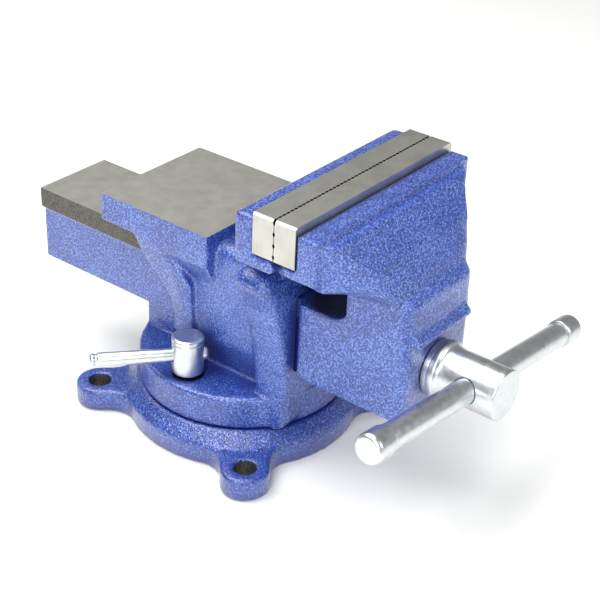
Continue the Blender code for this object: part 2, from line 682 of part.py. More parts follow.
def cowl_levels():
    """Levels of the cowl from the slide block's shoulders up to the lip under the jaw's top."""
    block = SLIDE_BLOCK_WIDTH / 2
    wide = JAW_WIDTH / 2
    return [
        (THROAT_TOP_Z - 0.016, SLIDE_FRONT_Y + 0.0005, block - 0.006, block),
        (THROAT_TOP_Z - 0.008, SLIDE_FRONT_Y + 0.0020, block - 0.006, block),
        (THROAT_TOP_Z, SLIDE_FRONT_Y + 0.0035, block - 0.0025, block),
        (THROAT_TOP_Z + 0.0035, SLIDE_FRONT_Y + 0.0050, block, block + 0.008),
        (THROAT_TOP_Z + 0.008, SLIDE_FRONT_Y + 0.0074, block + 0.004, block + 0.018),
        (THROAT_TOP_Z + 0.014, SLIDE_FRONT_Y + 0.0100, block + 0.0075, wide - 0.009),
        (THROAT_TOP_Z + 0.0176, SLIDE_FRONT_Y + 0.0128, block + 0.011, wide - 0.008),
        (THROAT_TOP_Z + 0.026, SLIDE_FRONT_Y + 0.0174, block + 0.016, wide - 0.0075),
        (THROAT_TOP_Z + 0.0367, SLIDE_FRONT_Y + 0.0266, block + 0.026, wide - 0.007),
        (MOVING_TOP_Z - 0.0052, MOVING_FRONT_Y - 0.0050, wide - 0.009, wide - 0.006),
        (MOVING_TOP_Z - 0.0042, MOVING_FRONT_Y - 0.0025, wide - 0.008, wide - 0.0055),
    ]


def make_cowl():
    bm = bmesh.new()
    loops = []
    for level in cowl_levels():
        points = [bm.verts.new(p) for p in cowl_section(*level)]
        loops.append([bm.edges.new(pair) for pair in zip(points, points[1:] + points[:1])])
    for lower, upper in zip(loops, loops[1:]):
        bmesh.ops.bridge_loops(bm, edges=lower + upper)
    bmesh.ops.holes_fill(bm, edges=loops[0] + loops[-1], sides=0)
    bmesh.ops.recalc_face_normals(bm, faces=bm.faces)
    return add_object("cowl", bm)


def moving_block_outline(top):
    """Section of the moving jaw along its width: full height at the ends, deeper over the beam."""
    end = JAW_WIDTH / 2 - 0.0005
    half = [(0, THROAT_TOP_Z), (SLIDE_BLOCK_WIDTH / 2, THROAT_TOP_Z)]
    half += [(end - 0.004, LEDGE_BOTTOM_Z), (end, LEDGE_BOTTOM_Z + 0.003), (end, top)]
    return mirrored(half + [(0, top)])


def throat_fillet_outline():
    """Side view of the round that runs the throat's front wall into the slide block's top."""
    centre = (THROAT_FRONT_Y + THROAT_FILLET, BEAM_TOP_Z + THROAT_FILLET)
    sweep = arc(centre, THROAT_FILLET, 180, 270, 6)
    return sweep + [(centre[0], BEAM_TOP_Z - ROOT), (THROAT_FRONT_Y - ROOT, BEAM_TOP_Z - ROOT),
                    (THROAT_FRONT_Y - ROOT, centre[1])]


def lip_outline():
    """Side view of the visor over the spindle's head."""
    under = SPINDLE_Z + HEAD_RADIUS + LIP_CLEAR
    return [
        (SLIDE_FRONT_Y + ROOT, under),
        (SLIDE_FRONT_Y - 0.0045, under),
        (SLIDE_FRONT_Y - 0.0052, under + 0.0025),
        (SLIDE_FRONT_Y + 0.0005, under + 0.0085),
        (SLIDE_FRONT_Y + ROOT, under + 0.0085),
    ]


def make_moving_jaw():
    block = SLIDE_BLOCK_WIDTH / 2
    beam = BEAM_WIDTH / 2
    jaw = prism("moving_jaw", moving_block_outline(MOVING_TOP_Z), "Y", MOVING_FRONT_Y,
                MOVING_SEAT_Y)
    ledge = prism("moving_jaw_ledge", moving_block_outline(LEDGE_TOP_Z), "Y",
                  MOVING_SEAT_Y - ROOT, JAW_MEETING_Y - LEDGE_INSET)
    fillet = prism("throat_fillet", throat_fillet_outline(), "X", -block, block)
    front = box("slide_front", (-block, block), (SLIDE_FRONT_Y, THROAT_FRONT_Y),
                (BEAM_BOTTOM_Z, THROAT_TOP_Z + ROOT), rounding=0.006, along="Z")
    rear_y = TUNNEL_FRONT_Y - 0.004
    slide = box("slide_block", (-block, block), (THROAT_FRONT_Y - 0.008, rear_y),
                (BEAM_BOTTOM_Z, BEAM_TOP_Z))
    painted = beam - BEAM_STRIP_PROUD
    lower = box("beam_web", (-painted, painted), (rear_y - ROOT, BEAM_REAR_Y - 0.0008),
                (BEAM_BOTTOM_Z, BEAM_TOP_Z - 0.001))
    upper = box("beam_strip", (-beam, beam), (rear_y - ROOT, BEAM_REAR_Y),
                (BEAM_TOP_Z - BEAM_STRIP_HEIGHT, BEAM_TOP_Z))
    lip_half = block - 0.0075
    lip = prism("lip", lip_outline(), "X", -lip_half, lip_half)
    join(jaw, ledge, fillet, make_cowl(), front, slide, lower, upper, lip)
    hollow = box("beam_hollow", (-HOLLOW_WIDTH / 2, HOLLOW_WIDTH / 2),
                 (SLIDE_INNER_Y, BEAM_REAR_Y + OVERCUT), (BEAM_BOTTOM_Z - OVERCUT, HOLLOW_TOP_Z),
                 rounding=0.003, along="Y")
    bore = rod("spindle_bore", SPINDLE_RADIUS + BOLT_GAP, -SLIDE_FRONT_Y + OVERCUT,
               -SLIDE_INNER_Y - OVERCUT, location=(0, 0, SPINDLE_Z), rotation=(math.pi / 2, 0, 0))
    cut(jaw, hollow, bore)
    for side in (-1, 1):
        cut(jaw, rod(f"moving_screw_hole_{side + 2}", SCREW_RADIUS + TOUCH_GAP, SCREW_GRIP + 0.001,
                     -OVERCUT, steps=SMALL_STEPS, location=(side * SCREW_X, MOVING_SEAT_Y, SCREW_Z),
                     rotation=(math.pi / 2, 0, 0)))
    return node(jaw, "painted_casting")


# ---- jaw plates and their screws --------------------------------------------------------------


def make_jaw_plate(name, facing):
    """facing is -1 for the plate that looks towards -Y, and 1 for the one that looks towards +Y."""
    grip = JAW_MEETING_Y - facing * PLATE_GAP / 2
    back = JAW_MEETING_Y - facing * PLATE_THICKNESS
    plate = box(name, (-JAW_WIDTH / 2, JAW_WIDTH / 2), (min(grip, back), max(grip, back)),
                (PLATE_BOTTOM_Z, PLATE_TOP_Z), rounding=0.0006, segments=1)
    turn = -facing * math.pi / 2
    profile = [
        (0, OVERCUT),
        (SCREW_HEAD_RADIUS + BOLT_GAP, OVERCUT),
        (SCREW_HEAD_RADIUS + BOLT_GAP, -SCREW_SINK),
        (SCREW_RADIUS + BOLT_GAP, -SCREW_SINK - SCREW_HEAD_DEPTH),
        (SCREW_RADIUS + BOLT_GAP, -PLATE_THICKNESS - OVERCUT),
        (0, -PLATE_THICKNESS - OVERCUT),
    ]
    for side in (-1, 1):
        cut(plate, turned(f"{name}_countersink_{side + 2}", profile, steps=SMALL_STEPS,
                          location=(side * SCREW_X, grip, SCREW_Z), rotation=(turn, 0, 0)))
    return node(plate, "ground_steel")


def make_plate_screw(name, side, facing):
    grip = JAW_MEETING_Y - facing * PLATE_GAP / 2
    top = -SCREW_SINK - TOUCH_GAP
    profile = [
        (0, top),
        (SCREW_HEAD_RADIUS, top),
        (SCREW_RADIUS, top - SCREW_HEAD_DEPTH),
        (SCREW_RADIUS, -PLATE_THICKNESS - SCREW_GRIP),
        (0, -PLATE_THICKNESS - SCREW_GRIP),
    ]
    screw = turned(name, profile, steps=SMALL_STEPS, location=(side * SCREW_X, grip, SCREW_Z),
                   rotation=(-facing * math.pi / 2, 0, 0))
    socket = hexagon_rod(f"{name}_socket", 0.0029, top + OVERCUT, top - 0.0024)
    socket.location = screw.location
    socket.rotation_euler = screw.rotation_euler
    cut(screw, socket)
    return node(screw, "dark_steel")


def hexagon_rod(name, radius, top, bottom):
    bm = bmesh.new()
    bmesh.ops.create_cone(bm, cap_ends=True, segments=6, radius1=radius, radius2=radius,
                          depth=top - bottom, matrix=Matrix.Translation((0, 0, (top + bottom) / 2)))
    return add_object(name, bm)


# ---- spindle, handle and spring ---------------------------------------------------------------


def make_spindle(axis):
    """Local +Z points along -Y, so heights here are minus the world Y."""
    collar_back = -SLIDE_FRONT_Y + THRUST_WASHER_THICKNESS + 2 * TOUCH_GAP
    collar_front = collar_back + COLLAR_THICKNESS
    end = -HEAD_END_Y
    profile = [
        (0, end),
        (HEAD_RADIUS - 0.0012, end),
        (HEAD_RADIUS, end - 0.0012),
        (HEAD_RADIUS, collar_front + 0.009),
        (HEAD_RADIUS + 0.0007, collar_front + 0.002),
        (COLLAR_RADIUS - 0.001, collar_front),
        (COLLAR_RADIUS, collar_front - 0.001),
        (COLLAR_RADIUS, collar_back),
        (SPINDLE_RADIUS, collar_back),
        (SPINDLE_RADIUS, -SPINDLE_REAR_Y + 0.002),
        (SPINDLE_RADIUS - 0.002, -SPINDLE_REAR_Y),
        (0, -SPINDLE_REAR_Y),
    ]
    spindle = turned("spindle", profile, parent=axis)
    eye = rod("handle_eye", HANDLE_RADIUS + SLIDE_GAP, HEAD_RADIUS + OVERCUT,
              -HEAD_RADIUS - OVERCUT, steps=SMALL_STEPS, location=(0, HANDLE_Y, SPINDLE_Z),
              rotation=(0, math.pi / 2 + HANDLE_TILT, 0))
    pin_hole = rod("pin_hole", PIN_RADIUS + TOUCH_GAP, SPINDLE_RADIUS + OVERCUT,
                   -SPINDLE_RADIUS - OVERCUT, steps=12, location=(0, pin_y(), SPINDLE_Z),
                   rotation=(0, math.pi / 2, 0))
    cut(spindle, eye, pin_hole)
    return node(spindle, "zinc_plate")


def spring_front_y():
    return SLIDE_INNER_Y + TOUCH_GAP


def spring_washer_y():
    return spring_front_y() + SPRING_LENGTH + TOUCH_GAP


def pin_y():
    return spring_washer_y() + SPRING_WASHER_THICKNESS + TOUCH_GAP + PIN_RADIUS


def make_thrust_washer(axis):
    low = -SLIDE_FRONT_Y + TOUCH_GAP
    return node(washer("thrust_washer", THRUST_WASHER_RADIUS, SPINDLE_RADIUS + TOUCH_GAP,
                       low + THRUST_WASHER_THICKNESS, low, 0.0006, parent=axis), "zinc_plate")


def make_spring(axis):
    """A short coil with its end turns closed up, standing on the inside of the front wall."""
    steps_per_turn = 12
    closed = SPRING_CLOSED_TURNS
    turns = SPRING_TURNS + 2 * closed
    travel = SPRING_LENGTH - 2 * SPRING_WIRE_RADIUS
    pitch_ends = 2 * SPRING_WIRE_RADIUS * 1.06
    pitch_middle = (travel - 2 * closed * pitch_ends) / (turns - 2 * closed)
    start = -spring_front_y() - SPRING_WIRE_RADIUS
    count = round(turns * steps_per_turn)
    curve = bpy.data.curves.new("spindle_spring", "CURVE")
    curve.dimensions = "3D"
    curve.bevel_depth = SPRING_WIRE_RADIUS
    curve.bevel_resolution = 2
    curve.use_fill_caps = True
    spline = curve.splines.new("POLY")
    spline.points.add(count)
    for i in range(count + 1):
        turn = i / steps_per_turn
        low = min(turn, closed) * pitch_ends
        high = max(turn - (turns - closed), 0) * pitch_ends
        middle = max(min(turn, turns - closed) - closed, 0) * pitch_middle
        angle = 2 * math.pi * turn
        x = SPRING_RADIUS * math.cos(angle)
        y = SPRING_RADIUS * math.sin(angle)
        spline.points[i].co = (x, y, start - low - middle - high, 1)
    spring = bpy.data.objects.new("spindle_spring", curve)
    spring.parent = axis
    PARTS.objects.link(spring)
    curve.materials.append(finish_material("dark_steel"))
    return spring


def make_spring_washer(axis):
    top = -spring_washer_y()
    return node(washer("spring_washer", SPRING_WASHER_RADIUS, SPINDLE_RADIUS + TOUCH_GAP, top,
                       top - SPRING_WASHER_THICKNESS, steps=SMALL_STEPS, parent=axis), "dark_steel")


def make_pin():
    half = SPINDLE_RADIUS + PIN_PROUD
    pin = rod("spindle_pin", PIN_RADIUS, half, -half, 0.0004, steps=12,
              location=(0, pin_y(), SPINDLE_Z), rotation=(0, math.pi / 2, 0))
    return node(pin, "dark_steel")


def make_handle_bar(axis):
    """Local +Z runs along the bar towards its right, lower end."""
    spigot = KNOB_SPIGOT_LENGTH
    profile = [
        (0, HANDLE_RIGHT + spigot),
        (KNOB_SPIGOT_RADIUS, HANDLE_RIGHT + spigot),
        (KNOB_SPIGOT_RADIUS, HANDLE_RIGHT),
        (HANDLE_RADIUS, HANDLE_RIGHT),
        (HANDLE_RADIUS, -HANDLE_LEFT),
        (KNOB_SPIGOT_RADIUS, -HANDLE_LEFT),
        (KNOB_SPIGOT_RADIUS, -HANDLE_LEFT - spigot),
        (0, -HANDLE_LEFT - spigot),
    ]
    return node(turned("handle_bar", profile, steps=32, parent=axis), "zinc_plate")


def make_knob(name, side, axis):
    """A round end cap with a blind hole for the bar's spigot."""
    shoulder = (HANDLE_RIGHT if side > 0 else HANDLE_LEFT) + TOUCH_GAP
    hole = KNOB_SPIGOT_RADIUS + TOUCH_GAP
    depth = KNOB_SPIGOT_LENGTH + 0.001
    end = shoulder + KNOB_LENGTH - TOUCH_GAP
    profile = [
        (0, end),
        (KNOB_RADIUS - 0.0030, end),
        (KNOB_RADIUS - 0.0009, end - 0.0009),
        (KNOB_RADIUS, end - 0.0030),
        (KNOB_RADIUS, shoulder + 0.0008),
        (KNOB_RADIUS - 0.0008, shoulder),
        (hole, shoulder),
        (hole, shoulder + depth),
        (0, shoulder + depth),
    ]
    turn = (0, 0, 0) if side > 0 else (math.pi, 0, 0)
    return node(turned(name, profile, steps=32, parent=axis, rotation=turn), "zinc_plate")


# ---- spindle nut ------------------------------------------------------------------------------


def make_spindle_nut():
    bottom = TUNNEL_FLOOR_Z + TOUCH_GAP
    nut = box("spindle_nut", (-NUT_WIDTH / 2, NUT_WIDTH / 2),
              (NUT_Y - NUT_LENGTH / 2, NUT_Y + NUT_LENGTH / 2),
              (bottom, HOLLOW_TOP_Z - NUT_TOP_MARGIN), rounding=0.002, along="Y")
    thread = rod("nut_thread", SPINDLE_RADIUS + SLIDE_GAP, NUT_LENGTH / 2 + OVERCUT,
                 -NUT_LENGTH / 2 - OVERCUT, location=(0, NUT_Y, SPINDLE_Z),
                 rotation=(math.pi / 2, 0, 0))
    hole = rod("nut_bolt_thread", NUT_BOLT_RADIUS + TOUCH_GAP, NUT_BOLT_TOP_Z + 2 * TOUCH_GAP,
               bottom - OVERCUT, steps=SMALL_STEPS, location=(0, NUT_Y, 0))
    cut(nut, thread, hole)
    return node(nut, "nut_iron")


def make_nut_bolt():
    seat = DISC_BOTTOM_Z + COUNTERBORE_DEPTH
    head_top = seat - NUT_BOLT_WASHER - 2 * TOUCH_GAP
    bolt = hexagon_rod("nut_bolt", NUT_BOLT_HEAD_RADIUS, head_top, head_top - NUT_BOLT_HEAD_HEIGHT)
    bolt.location = (0, NUT_Y, 0)
    shank = rod("nut_bolt_shank", NUT_BOLT_RADIUS, NUT_BOLT_TOP_Z, head_top - ROOT,
                steps=SMALL_STEPS, location=(0, NUT_Y, 0))
    join(bolt, shank)
    return node(bolt, "dark_steel")


def make_nut_bolt_washer():
    seat = DISC_BOTTOM_Z + COUNTERBORE_DEPTH - TOUCH_GAP
    return node(washer("nut_bolt_washer", NUT_BOLT_HEAD_RADIUS, NUT_BOLT_RADIUS + TOUCH_GAP, seat,
                       seat - NUT_BOLT_WASHER, steps=SMALL_STEPS, location=(0, NUT_Y, 0)),
                "dark_steel")


# ---- swivel lock ------------------------------------------------------------------------------


def lock_levels():
    washer_low = DISC_TOP_Z + TOUCH_GAP
    nut_low = washer_low + LOCK_WASHER_THICKNESS + TOUCH_GAP
    bar_z = DISC_TOP_Z + LOCK_BAR_RISE
    return washer_low, nut_low, bar_z


def make_lock_bolt(name, centre):
    """A T-headed bolt whose head slides round in the base's slot."""
    head_top = BASE_HEIGHT - SLOT_LIP - TOUCH_GAP
    half = LOCK_HEAD_SIDE / 2
    bolt = box(name, (-half, half), (-half, half), (head_top - LOCK_HEAD_HEIGHT, head_top),
               rounding=0.001, along="Z", segments=1)
    bolt.location = centre
    bar_z = lock_levels()[2]
    shank = rod(f"{name}_shank", LOCK_BOLT_RADIUS, bar_z - LOCK_BAR_RADIUS - 0.0010,
                head_top - ROOT, steps=SMALL_STEPS, location=centre)
    join(bolt, shank)
    return node(bolt, "dark_steel")


def make_lock_nut(name, centre, bar_turn):
    """A tall round nut, blind from above, with a cross hole for its bar and a thin turned groove."""
    low, bar_z = lock_levels()[1:]
    top = low + LOCK_NUT_HEIGHT
    hole = LOCK_BOLT_RADIUS + TOUCH_GAP
    hole_top = bar_z - LOCK_BAR_RADIUS - 0.0005
    groove = top - 0.0036
    outer = LOCK_NUT_RADIUS
    profile = [
        (0, top),
        (outer - 0.0010, top),
        (outer, top - 0.0010),
        (outer, groove + 0.0005),
        (outer - 0.0004, groove),
        (outer, groove - 0.0005),
        (outer, low + 0.0006),
        (outer - 0.0006, low),
        (hole, low),
        (hole, hole_top),
        (0, hole_top),
    ]
    nut = turned(name, profile, steps=32, location=centre)
    eye = rod(f"{name}_eye", LOCK_BAR_RADIUS + TOUCH_GAP, LOCK_NUT_RADIUS + OVERCUT,
              -LOCK_NUT_RADIUS - OVERCUT, steps=16, location=(*centre[:2], bar_z),
              rotation=(0, math.pi / 2, bar_turn))
    cut(nut, eye)
    return node(nut, "zinc_plate")


def make_lock_bar(name, centre, bar_turn):
    """Local +Z points to the bar's long end, which has a turned groove and a thinner tip."""
    neck = LOCK_BAR_REACH - 0.0055
    radius = LOCK_BAR_RADIUS
    profile = [
        (0, LOCK_BAR_REACH),
        (radius * 0.42, LOCK_BAR_REACH - 0.0003),
        (radius * 0.66, LOCK_BAR_REACH - 0.0014),
        (radius * 0.66, neck),
        (radius * 0.92, neck - 0.0006),
        (radius * 0.92, neck - 0.0020),
        (radius * 0.78, neck - 0.0026),
        (radius * 0.78, neck - 0.0034),
        (radius * 0.95, neck - 0.0042),
        (radius, neck - 0.0052),
        (radius, -LOCK_BAR_STUB + 0.0012),
        (radius * 0.7, -LOCK_BAR_STUB),
        (0, -LOCK_BAR_STUB),
    ]
    bar = turned(name, profile, steps=SMALL_STEPS, location=(*centre[:2], lock_levels()[2]),
                 rotation=(0, math.pi / 2, bar_turn))
    return node(bar, "zinc_plate")


def make_lock(side_name, side):
    centre = (side * LOCK_X, LOCK_Y, 0)
    bar_turn = LOCK_BAR_TURN if side < 0 else math.pi - LOCK_BAR_TURN
    low = lock_levels()[0]
    make_lock_bolt(f"lock_bolt_{side_name}", centre)
    node(washer(f"lock_washer_{side_name}", LOCK_NUT_RADIUS + 0.0002, LOCK_BOLT_RADIUS + TOUCH_GAP,
                low + LOCK_WASHER_THICKNESS, low, steps=SMALL_STEPS, location=centre), "dark_steel")
    make_lock_nut(f"lock_nut_{side_name}", centre, bar_turn)
    make_lock_bar(f"lock_bar_{side_name}", centre, bar_turn)


# ---- the whole vise ---------------------------------------------------------------------------


def make_vise():
    make_swivel_base()
    make_body()
    make_moving_jaw()
    for jaw, facing in (("fixed", -1), ("moving", 1)):
        make_jaw_plate(f"{jaw}_jaw_plate", facing)
        for side_name, side in (("left", -1), ("right", 1)):
            make_plate_screw(f"{jaw}_plate_screw_{side_name}", side, facing)
    spindle_axis = axis_empty("spindle_axis", (0, 0, SPINDLE_Z), (math.pi / 2, 0, 0))
    make_spindle(spindle_axis)
    make_thrust_washer(spindle_axis)
    make_spring(spindle_axis)
    make_spring_washer(spindle_axis)
    make_pin()
    handle_axis = axis_empty("handle_axis", (0, HANDLE_Y, SPINDLE_Z),
                             (0, math.pi / 2 + HANDLE_TILT, 0))
    make_handle_bar(handle_axis)
    make_knob("handle_knob_left", -1, handle_axis)
    make_knob("handle_knob_right", 1, handle_axis)
    make_spindle_nut()
    make_nut_bolt()
    make_nut_bolt_washer()
    make_lock("left", -1)
    make_lock("right", 1)


clear_scene()
PARTS = new_collection("bench_vise")
TOOLS = new_collection("bench_vise_tools")
make_vise()
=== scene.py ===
"""Bench vise: cast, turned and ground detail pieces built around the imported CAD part.

Metres, +Z up, in the part's own frame: the origin is the swivel axis at the bench, +X runs along the
jaws and -Y points to the handle.
"""

import json
import math

import bmesh
import bpy
from mathutils import Matrix, Vector


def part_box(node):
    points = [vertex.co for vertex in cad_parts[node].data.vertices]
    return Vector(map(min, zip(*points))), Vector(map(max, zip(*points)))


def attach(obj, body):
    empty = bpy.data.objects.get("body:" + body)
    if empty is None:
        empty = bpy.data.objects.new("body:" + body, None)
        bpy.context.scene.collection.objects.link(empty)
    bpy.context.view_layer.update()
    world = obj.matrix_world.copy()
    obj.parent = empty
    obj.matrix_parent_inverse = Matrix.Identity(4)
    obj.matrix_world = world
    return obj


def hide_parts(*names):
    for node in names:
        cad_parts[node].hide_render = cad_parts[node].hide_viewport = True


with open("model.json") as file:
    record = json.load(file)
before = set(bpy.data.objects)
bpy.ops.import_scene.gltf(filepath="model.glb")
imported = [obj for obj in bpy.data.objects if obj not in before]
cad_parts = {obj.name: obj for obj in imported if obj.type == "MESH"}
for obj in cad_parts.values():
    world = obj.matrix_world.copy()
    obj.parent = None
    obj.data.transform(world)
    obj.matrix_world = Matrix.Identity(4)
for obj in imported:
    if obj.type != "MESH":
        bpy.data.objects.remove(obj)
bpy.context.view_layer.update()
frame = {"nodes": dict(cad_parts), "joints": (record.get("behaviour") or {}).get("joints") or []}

MM = 0.001

# ---- places read from the frame ---------------------------------------------------------------

_, JAW_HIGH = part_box("moving_jaw")
SPINDLE_LOW, SPINDLE_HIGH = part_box("spindle")
BAR_LOW, BAR_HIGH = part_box("handle_bar")
PIN_LOW, PIN_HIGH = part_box("spindle_pin")
WASHER_LOW, WASHER_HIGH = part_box("thrust_washer")

SPINDLE_Z = (SPINDLE_LOW.z + SPINDLE_HIGH.z) / 2
HANDLE_Y = (BAR_LOW.y + BAR_HIGH.y) / 2
HANDLE_RADIUS = (BAR_HIGH.y - BAR_LOW.y) / 2
HANDLE_AXIS = next(joint["axis"] for joint in frame["joints"] if joint["name"] == "handle_slide")
JAW_FRONT_Y = WASHER_HIGH.y + 0.3 * MM  # the slide block's front face

# ---- sizes of the detail pieces ---------------------------------------------------------------

SHANK_RADIUS = 12 * MM
THREAD_PITCH = 5 * MM
THREAD_DEPTH = 2.2 * MM
PIN_HOLE_RADIUS = 2.3 * MM

# The outlines of turned pieces are in millimetres.
COLLAR = 18
COLLAR_WIDTH = 4.3
HEAD = 15.5
HANDLE_SHOULDERS = (93.0, 97.5)  # from the spindle's axis to the shoulders, left and right
SPIGOT = 5
SPIGOT_LENGTH = 11
CAP = 8.9
CAP_BORE = 5.3
CAP_LENGTH = 16.5
LOCK_NUT = 10.0
LOCK_BAR = 4.3

LOCK_BAR_TURN = math.radians(138.4)
LOCK_BAR_HOLE_RADIUS = 4.6 * MM

LUG_CIRCLE_RADIUS = 93.2 * MM
LUG_HOLE_RADIUS = 7.1 * MM
BASE_TURN = math.radians(-4.3)
ANVIL_TOP_Z = 141.5 * MM
ANVIL_FRONT_Y = -7.9 * MM
ANVIL_REAR_Y = 79.4 * MM
ANVIL_HALF = 46.15 * MM
BEAM_TOP_Z = 115 * MM
BEAM_HALF = 29.5 * MM
STRIP_HEIGHT = 13.1 * MM
BEAM_SIDE_WALL = 6 * MM
BEAM_TOP_WALL = 7 * MM
STRIP_START_Y = -60 * MM  # where the milled strips run out, inside the tunnel
GRIND_STOCK = 1.6 * MM  # metal left on the castings for grinding
COWL_LOW = (-80 * MM, -150 * MM, 121 * MM)  # the sweep of the moving jaw's front
COWL_HIGH = (80 * MM, -108 * MM, 160 * MM)

# Where the painted shadow in the throat between the jaws falls, as an ellipsoid.
THROAT_SHADOW_MIDDLE = (0, -84 * MM, 124 * MM)
THROAT_SHADOW_REACH = (44 * MM, 26 * MM, 22 * MM)

PLATE_CELLS_ACROSS = 176
PLATE_CELLS_UP = 30
GROOVE_CELLS = 8  # the plates' grooves repeat every 8 cells of 0.85 mm
GROOVE_HALF_CELLS = 2.0
GROOVE_DEPTH = 0.7 * MM

CAMERA_PLACE = (-0.5929, -0.4852, 0.5303)
CAMERA_AZIMUTH, CAMERA_ELEVATION, CAMERA_ROLL = (math.radians(a) for a in (-53.31, 30.6, -2.64))
CAMERA_LENS = 84.32
LIGHTS_AIM = (0, 0, 0.1)


# ---- materials --------------------------------------------------------------------------------


def colour(code):
    """Linear RGBA from an sRGB hex code."""
    channels = [int(code[i : i + 2], 16) / 255 for i in (1, 3, 5)]
    linear = [c / 12.92 if c <= 0.04045 else ((c + 0.055) / 1.055) ** 2.4 for c in channels]
    return (*linear, 1.0)


def add(tree, kind, inputs=None, stops=(), **settings):
    """A node with its settings. Inputs are values or other nodes' outputs, and a ramp's stops are
    positions with hex codes or plain values."""
    node = tree.nodes.new(kind)
    for name, value in settings.items():
        setattr(node, name, value)
    for name, value in (inputs or {}).items():
        if isinstance(value, bpy.types.NodeSocket):
            tree.links.new(value, node.inputs[name])
        else:
            node.inputs[name].default_value = value
    for _ in range(len(stops) - 2):
        node.color_ramp.elements.new(0.5)
    for index, (position, value) in enumerate(stops):
        element = node.color_ramp.elements[index]
        element.position = position
        element.color = colour(value) if isinstance(value, str) else (value, value, value, 1)
    return node


def new_material(name, **shader_values):
    """A material, its node tree and shader, and the piece's own coordinates in metres."""
    material = bpy.data.materials.new(name)
    material.use_nodes = True
    tree = material.node_tree
    shader = tree.nodes["Principled BSDF"]
    for socket, value in shader_values.items():
        shader.inputs[socket.replace("_", " ")].default_value = value
    place = add(tree, "ShaderNodeTexCoord").outputs["Object"]
    return material, tree, shader, place


def hammer_enamel():
    """Stoved hammertone enamel on cast iron: a glossy royal blue, orange-peeled in dimples 2 mm
    across. Aluminium flake floats up on the rims between them, so lit faces go pale and grainy.
    Ambient occlusion darkens the colour in corners and hollows: painted shade. Below about 45 mm
    the enamel takes a little less flake, so the base and the disc sit darker: painted shade low down.
    Inside the throat the colour fades to near black: a painted shadow."""
    material, tree, shader, place = new_material(
        "hammer_enamel", Roughness=0.4, Coat_Weight=1.0, Coat_Roughness=0.12, Coat_IOR=1.6
    )
    bend = add(tree, "ShaderNodeTexNoise", {"Vector": place, "Scale": 1 / (4 * MM), "Detail": 1.0})
    bent = add(tree, "ShaderNodeVectorMath", {0: bend.outputs["Color"], 1: (1.2 * MM,) * 3, 2: place},
               operation="MULTIPLY_ADD")
    where = bent.outputs[0]
    peel = add(tree, "ShaderNodeTexNoise", {"Vector": where, "Scale": 1 / (1.1 * MM), "Detail": 1.5})
    fine = add(tree, "ShaderNodeTexNoise", {"Vector": where, "Scale": 1 / (0.6 * MM), "Detail": 1.0})
    drift = add(tree, "ShaderNodeTexNoise", {"Vector": place, "Scale": 1 / (30 * MM), "Detail": 1.0})
    grain = add(tree, "ShaderNodeMath", {0: fine.outputs[0], 1: 0.35, 2: peel.outputs[0]},
                operation="MULTIPLY_ADD")
    # Painted shade: below about 45 mm the flake amount drops a little, so the base and the disc's top sit
    # darker and less metallic.
    spot = add(tree, "ShaderNodeSeparateXYZ", {"Vector": place})
    painted_shade_low_down = add(tree, "ShaderNodeValToRGB", {"Fac": spot.outputs["Z"]},
                   stops=((40 * MM, 0.0), (52 * MM, 1.0)))
    shade = add(tree, "ShaderNodeMath", {0: drift.outputs[0], 1: 0.16, 2: grain.outputs[0]},
                operation="MULTIPLY_ADD")
    flake = add(tree, "ShaderNodeMath", {0: painted_shade_low_down.outputs[0], 1: 0.05, 2: shade.outputs[0]},
                operation="MULTIPLY_ADD")
    flake_and_low_shade = flake.outputs[0]
    tone = add(tree, "ShaderNodeValToRGB", {"Fac": flake_and_low_shade},
               stops=((0.66, "#07205f"), (0.80, "#1943aa"), (0.96, "#6c8ad0")))
    # Painted shadow: inside the throat between the jaws the colour fades to near black #0b1233.
    off_throat = add(tree, "ShaderNodeVectorMath", {0: place, 1: THROAT_SHADOW_MIDDLE}, operation="SUBTRACT")
    scaled = add(tree, "ShaderNodeVectorMath", {0: off_throat.outputs[0], 1: THROAT_SHADOW_REACH},
                 operation="DIVIDE")
    away = add(tree, "ShaderNodeVectorMath", {0: scaled.outputs[0]}, operation="LENGTH")
    clear_of_throat_shadow = add(tree, "ShaderNodeValToRGB", {"Fac": away.outputs["Value"]},
                  stops=((0.80, 0.0), (1.0, 1.0)))
    # Painted shade: ambient occlusion darkens the colour towards #0d2276 in corners and hollows.
    corner = add(tree, "ShaderNodeAmbientOcclusion", {"Distance": 16 * MM}, samples=6)
    painted_corner_shade = add(tree, "ShaderNodeValToRGB", {"Fac": corner.outputs["AO"]},
                 stops=((0.40, 0.0), (0.85, 1.0)))
    tone = add(tree, "ShaderNodeMixRGB", {"Fac": painted_corner_shade.outputs[0], "Color1": colour("#0d2276"),
                                          "Color2": tone.outputs[0]})
    tone = add(tree, "ShaderNodeMixRGB", {"Fac": clear_of_throat_shadow.outputs[0], "Color1": colour("#0b1233"),
                                          "Color2": tone.outputs[0]})
    tree.links.new(tone.outputs[0], shader.inputs["Base Color"])
    metal = add(tree, "ShaderNodeValToRGB", {"Fac": flake_and_low_shade}, stops=((0.72, 0.05), (0.98, 0.35)))
    tree.links.new(metal.outputs[0], shader.inputs["Metallic"])
    depth = add(tree, "ShaderNodeBump", {"Height": grain.outputs[0], "Strength": 1.0,
                                         "Distance": 0.42 * MM})
    tree.links.new(depth.outputs[0], shader.inputs["Normal"])
    tree.links.new(depth.outputs[0], shader.inputs["Coat Normal"])
    return material


